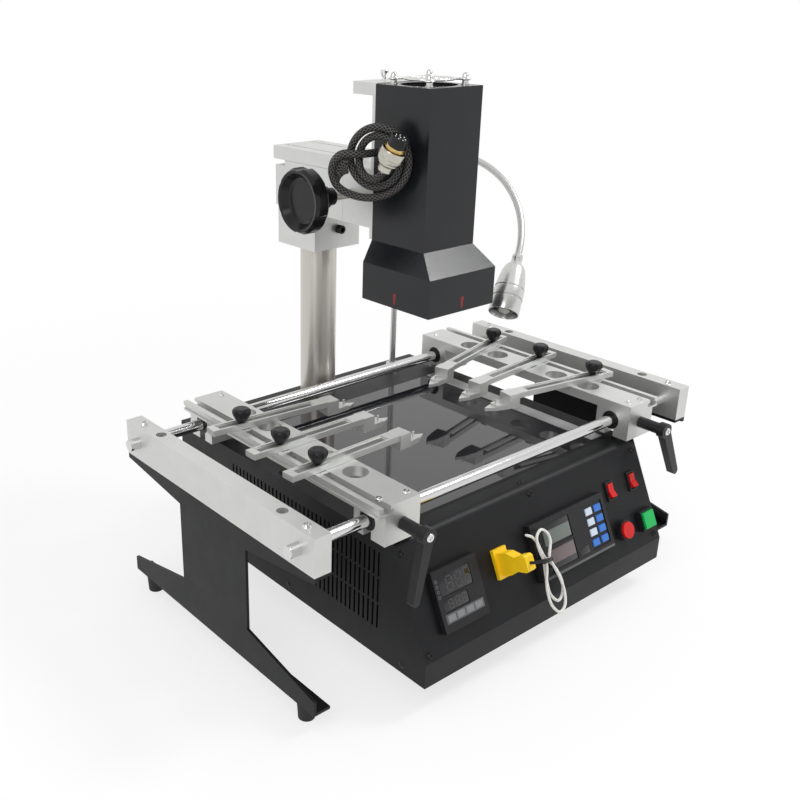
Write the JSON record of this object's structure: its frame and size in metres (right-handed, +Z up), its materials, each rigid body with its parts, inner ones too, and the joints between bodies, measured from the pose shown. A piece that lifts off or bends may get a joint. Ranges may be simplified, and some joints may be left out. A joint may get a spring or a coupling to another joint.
{
  "type": "BGA rework station",
  "caption": "Infrared board rework station: preheater with glass hot field and sloped panel, top heater on a rack lift and swinging arm, gooseneck lamp and a sliding clamp frame.",
  "frame": {"origin": "bench level under the middle of the outline without its free leads", "axes": "+X to the operator's right along the guide rods, +Y to the back where the column stands, +Z up"},
  "size_m": [0.468, 0.362, 0.445],
  "materials": {
    "black_paint": "fine-textured semi-gloss black powder coat on sheet steel",
    "dark_glass": "polished dark ceramic glass",
    "rubber": "matt moulded rubber",
    "ceramic": "glazed flat ceramic heaters on a steel tray or pan",
    "black_plastic": "moulded black plastic",
    "yellow_plastic": "moulded thermocouple plug and panel socket",
    "lead_jacket": "braided sleeve over insulated wire",
    "white_lead": "woven white sleeve over thermocouple wire",
    "connector_metal": "plated connector shell",
    "red_plastic": "red translucent cap",
    "green_plastic": "green translucent cap",
    "steel": "ground and plated steel",
    "aluminium": "bead-blasted and clear anodised"
  },
  "bodies": {
    "chassis": {"chassis_base": "black_paint", "chassis_cover": "black_paint", "control_panel": "black_paint", "glass_plate": "dark_glass", "chassis_feet": "rubber", "bottom_heaters": "ceramic", "left_controller": "black_plastic", "right_controller": "black_plastic", "tc_socket": "yellow_plastic", "tc_plug": "yellow_plastic", "tc_lead": "white_lead", "tc_hank": "white_lead", "switch_bezels": "black_plastic", "rear_sockets": "black_plastic", "column": "steel", "work_lamp": "steel"},
    "light_switch": {"light_rocker": "red_plastic"},
    "fan_switch": {"fan_rocker": "red_plastic"},
    "stop_key": {"stop_button": "red_plastic"},
    "start_key": {"start_button": "green_plastic"},
    "swing_arm": {"column_clamp": "aluminium"},
    "reach_arm": {"arm_slide": "aluminium"},
    "wheel": {"pinion_shaft": "steel", "handwheel": "black_plastic"},
    "head": {"lift_plate": "aluminium", "head_shell": "black_paint", "top_heater": "ceramic", "head_fan": "black_plastic", "heater_cable": "lead_jacket", "cable_coil": "lead_jacket", "cable_connector": "connector_metal"},
    "fan": {"fan_rotor": "black_plastic"},
    "board_frame": {"side_stands": "black_paint", "stand_feet": "rubber", "end_bars": "aluminium", "guide_rods": "steel"},
    "left_beam": {"left_beam_plate": "aluminium", "left_beam_blocks": "aluminium"},
    "right_beam": {"right_beam_plate": "aluminium", "right_beam_blocks": "aluminium"},
    "left_lock": {"left_lever": "black_plastic"},
    "right_lock": {"right_lever": "black_plastic"},
    "left_nut_1": {"left_t_nut_1": "steel"},
    "left_grip_1": {"left_knob_1": "black_plastic"},
    "left_claw_1": {"left_arm_1": "aluminium"},
    "left_nut_2": {"left_t_nut_2": "steel"},
    "left_grip_2": {"left_knob_2": "black_plastic"},
    "left_claw_2": {"left_arm_2": "aluminium"},
    "left_nut_3": {"left_t_nut_3": "steel"},
    "left_grip_3": {"left_knob_3": "black_plastic"},
    "left_claw_3": {"left_arm_3": "aluminium"},
    "right_nut_1": {"right_t_nut_1": "steel"},
    "right_grip_1": {"right_knob_1": "black_plastic"},
    "right_claw_1": {"right_arm_1": "aluminium"},
    "right_nut_2": {"right_t_nut_2": "steel"},
    "right_grip_2": {"right_knob_2": "black_plastic"},
    "right_claw_2": {"right_arm_2": "aluminium"},
    "right_nut_3": {"right_t_nut_3": "steel"},
    "right_grip_3": {"right_knob_3": "black_plastic"},
    "right_claw_3": {"right_arm_3": "aluminium"}
  },
  "joints": [
    {"name": "pcb_frame_slide", "type": "slide", "parent": "chassis", "child": "board_frame", "axis": [0, 1, 0], "range_m": [-0.03, 0]},
    {"name": "left_beam_slide", "type": "slide", "parent": "board_frame", "child": "left_beam", "axis": [1, 0, 0], "range_m": [-0.025, 0.03]},
    {"name": "right_beam_slide", "type": "slide", "parent": "board_frame", "child": "right_beam", "axis": [1, 0, 0], "range_m": [-0.03, 0.012]},
    {"name": "left_lever_turn", "type": "hinge", "parent": "left_beam", "child": "left_lock", "pos_m": [-0.14325, -0.1355, 0.148], "axis": [0, 1, 0], "range_deg": [-10, 60]},
    {"name": "right_lever_turn", "type": "hinge", "parent": "right_beam", "child": "right_lock", "pos_m": [0.14925, -0.1355, 0.148], "axis": [0, 1, 0], "range_deg": [-60, 10]},
    {"name": "left_nut_slide_1", "type": "slide", "parent": "left_beam", "child": "left_nut_1", "axis": [0, 1, 0], "range_m": [-0.01, 0.04]},
    {"name": "left_arm_swivel_1", "type": "hinge", "parent": "left_nut_1", "child": "left_claw_1", "pos_m": [-0.159, 0.0435, 0.166], "axis": [0, 0, 1], "range_deg": [-8, 25]},
    {"name": "left_knob_turn_1", "type": "hinge", "parent": "left_nut_1", "child": "left_grip_1", "pos_m": [-0.159, 0.0435, 0.166], "axis": [0, 0, 1], "range_deg": [0, 120]},
    {"name": "left_nut_slide_2", "type": "slide", "parent": "left_beam", "child": "left_nut_2", "axis": [0, 1, 0], "range_m": [-0.01, 0.01]},
    {"name": "left_arm_swivel_2", "type": "hinge", "parent": "left_nut_2", "child": "left_claw_2", "pos_m": [-0.159, -0.0105, 0.166], "axis": [0, 0, 1], "range_deg": [-8, 8]},
    {"name": "left_knob_turn_2", "type": "hinge", "parent": "left_nut_2", "child": "left_grip_2", "pos_m": [-0.159, -0.0105, 0.166], "axis": [0, 0, 1], "range_deg": [0, 120]},
    {"name": "left_nut_slide_3", "type": "slide", "parent": "left_beam", "child": "left_nut_3", "axis": [0, 1, 0], "range_m": [-0.04, 0.01]},
    {"name": "left_arm_swivel_3", "type": "hinge", "parent": "left_nut_3", "child": "left_claw_3", "pos_m": [-0.159, -0.0575, 0.166], "axis": [0, 0, 1], "range_deg": [-25, 8]},
    {"name": "left_knob_turn_3", "type": "hinge", "parent": "left_nut_3", "child": "left_grip_3", "pos_m": [-0.159, -0.0575, 0.166], "axis": [0, 0, 1], "range_deg": [0, 120]},
    {"name": "right_nut_slide_1", "type": "slide", "parent": "right_beam", "child": "right_nut_1", "axis": [0, 1, 0], "range_m": [-0.01, 0.035]},
    {"name": "right_arm_swivel_1", "type": "hinge", "parent": "right_nut_1", "child": "right_claw_1", "pos_m": [0.165, 0.0535, 0.166], "axis": [0, 0, 1], "range_deg": [-25, 8]},
    {"name": "right_knob_turn_1", "type": "hinge", "parent": "right_nut_1", "child": "right_grip_1", "pos_m": [0.165, 0.0535, 0.166], "axis": [0, 0, 1], "range_deg": [0, 120]},
    {"name": "right_nut_slide_2", "type": "slide", "parent": "right_beam", "child": "right_nut_2", "axis": [0, 1, 0], "range_m": [-0.01, 0.01]},
    {"name": "right_arm_swivel_2", "type": "hinge", "parent": "right_nut_2", "child": "right_claw_2", "pos_m": [0.165, -0.0075, 0.166], "axis": [0, 0, 1], "range_deg": [-8, 5]},
    {"name": "right_knob_turn_2", "type": "hinge", "parent": "right_nut_2", "child": "right_grip_2", "pos_m": [0.165, -0.0075, 0.166], "axis": [0, 0, 1], "range_deg": [0, 120]},
    {"name": "right_nut_slide_3", "type": "slide", "parent": "right_beam", "child": "right_nut_3", "axis": [0, 1, 0], "range_m": [-0.035, 0.01]},
    {"name": "right_arm_swivel_3", "type": "hinge", "parent": "right_nut_3", "child": "right_claw_3", "pos_m": [0.165, -0.0705, 0.166], "axis": [0, 0, 1], "range_deg": [-4, 25]},
    {"name": "right_knob_turn_3", "type": "hinge", "parent": "right_nut_3", "child": "right_grip_3", "pos_m": [0.165, -0.0705, 0.166], "axis": [0, 0, 1], "range_deg": [0, 120]},
    {"name": "light_switch_tip", "type": "hinge", "parent": "chassis", "child": "light_switch", "pos_m": [0.0985, -0.14613, 0.09927], "axis": [1, 0, 0], "range_deg": [0, 20]},
    {"name": "fan_switch_tip", "type": "hinge", "parent": "chassis", "child": "fan_switch", "pos_m": [0.13, -0.14613, 0.09927], "axis": [1, 0, 0], "range_deg": [0, 20]},
    {"name": "stop_press", "type": "slide", "parent": "chassis", "child": "stop_key", "axis": [0, 0.9029, -0.4299], "range_m": [0, 0.003], "stiffness_N_per_m": 200, "springref_m": -0.002},
    {"name": "start_press", "type": "slide", "parent": "chassis", "child": "start_key", "axis": [0, 0.9029, -0.4299], "range_m": [0, 0.003], "stiffness_N_per_m": 200, "springref_m": -0.002},
    {"name": "arm_swing", "type": "hinge", "parent": "chassis", "child": "swing_arm", "pos_m": [0, 0.1375, 0.282], "axis": [0, 0, 1], "range_deg": [-60, 2]},
    {"name": "arm_reach", "type": "slide", "parent": "swing_arm", "child": "reach_arm", "axis": [0, -1, 0], "range_m": [0, 0.04]},
    {"name": "head_lift", "type": "slide", "parent": "reach_arm", "child": "head", "axis": [0, 0, 1], "range_m": [-0.054, 0.03]},
    {"name": "handwheel_turn", "type": "hinge", "parent": "reach_arm", "child": "wheel", "pos_m": [0, 0.0615, 0.343], "axis": [1, 0, 0], "range_deg": [-300, 530]},
    {"name": "fan_spin", "type": "hinge", "parent": "head", "child": "fan", "pos_m": [0, -0.0005, 0.428], "axis": [0, 0, 1], "continuous": true}
  ],
  "couplings": [
    {"joint": "handwheel_turn", "follows": "head_lift", "rad_per_m": -166.67}
  ]
}
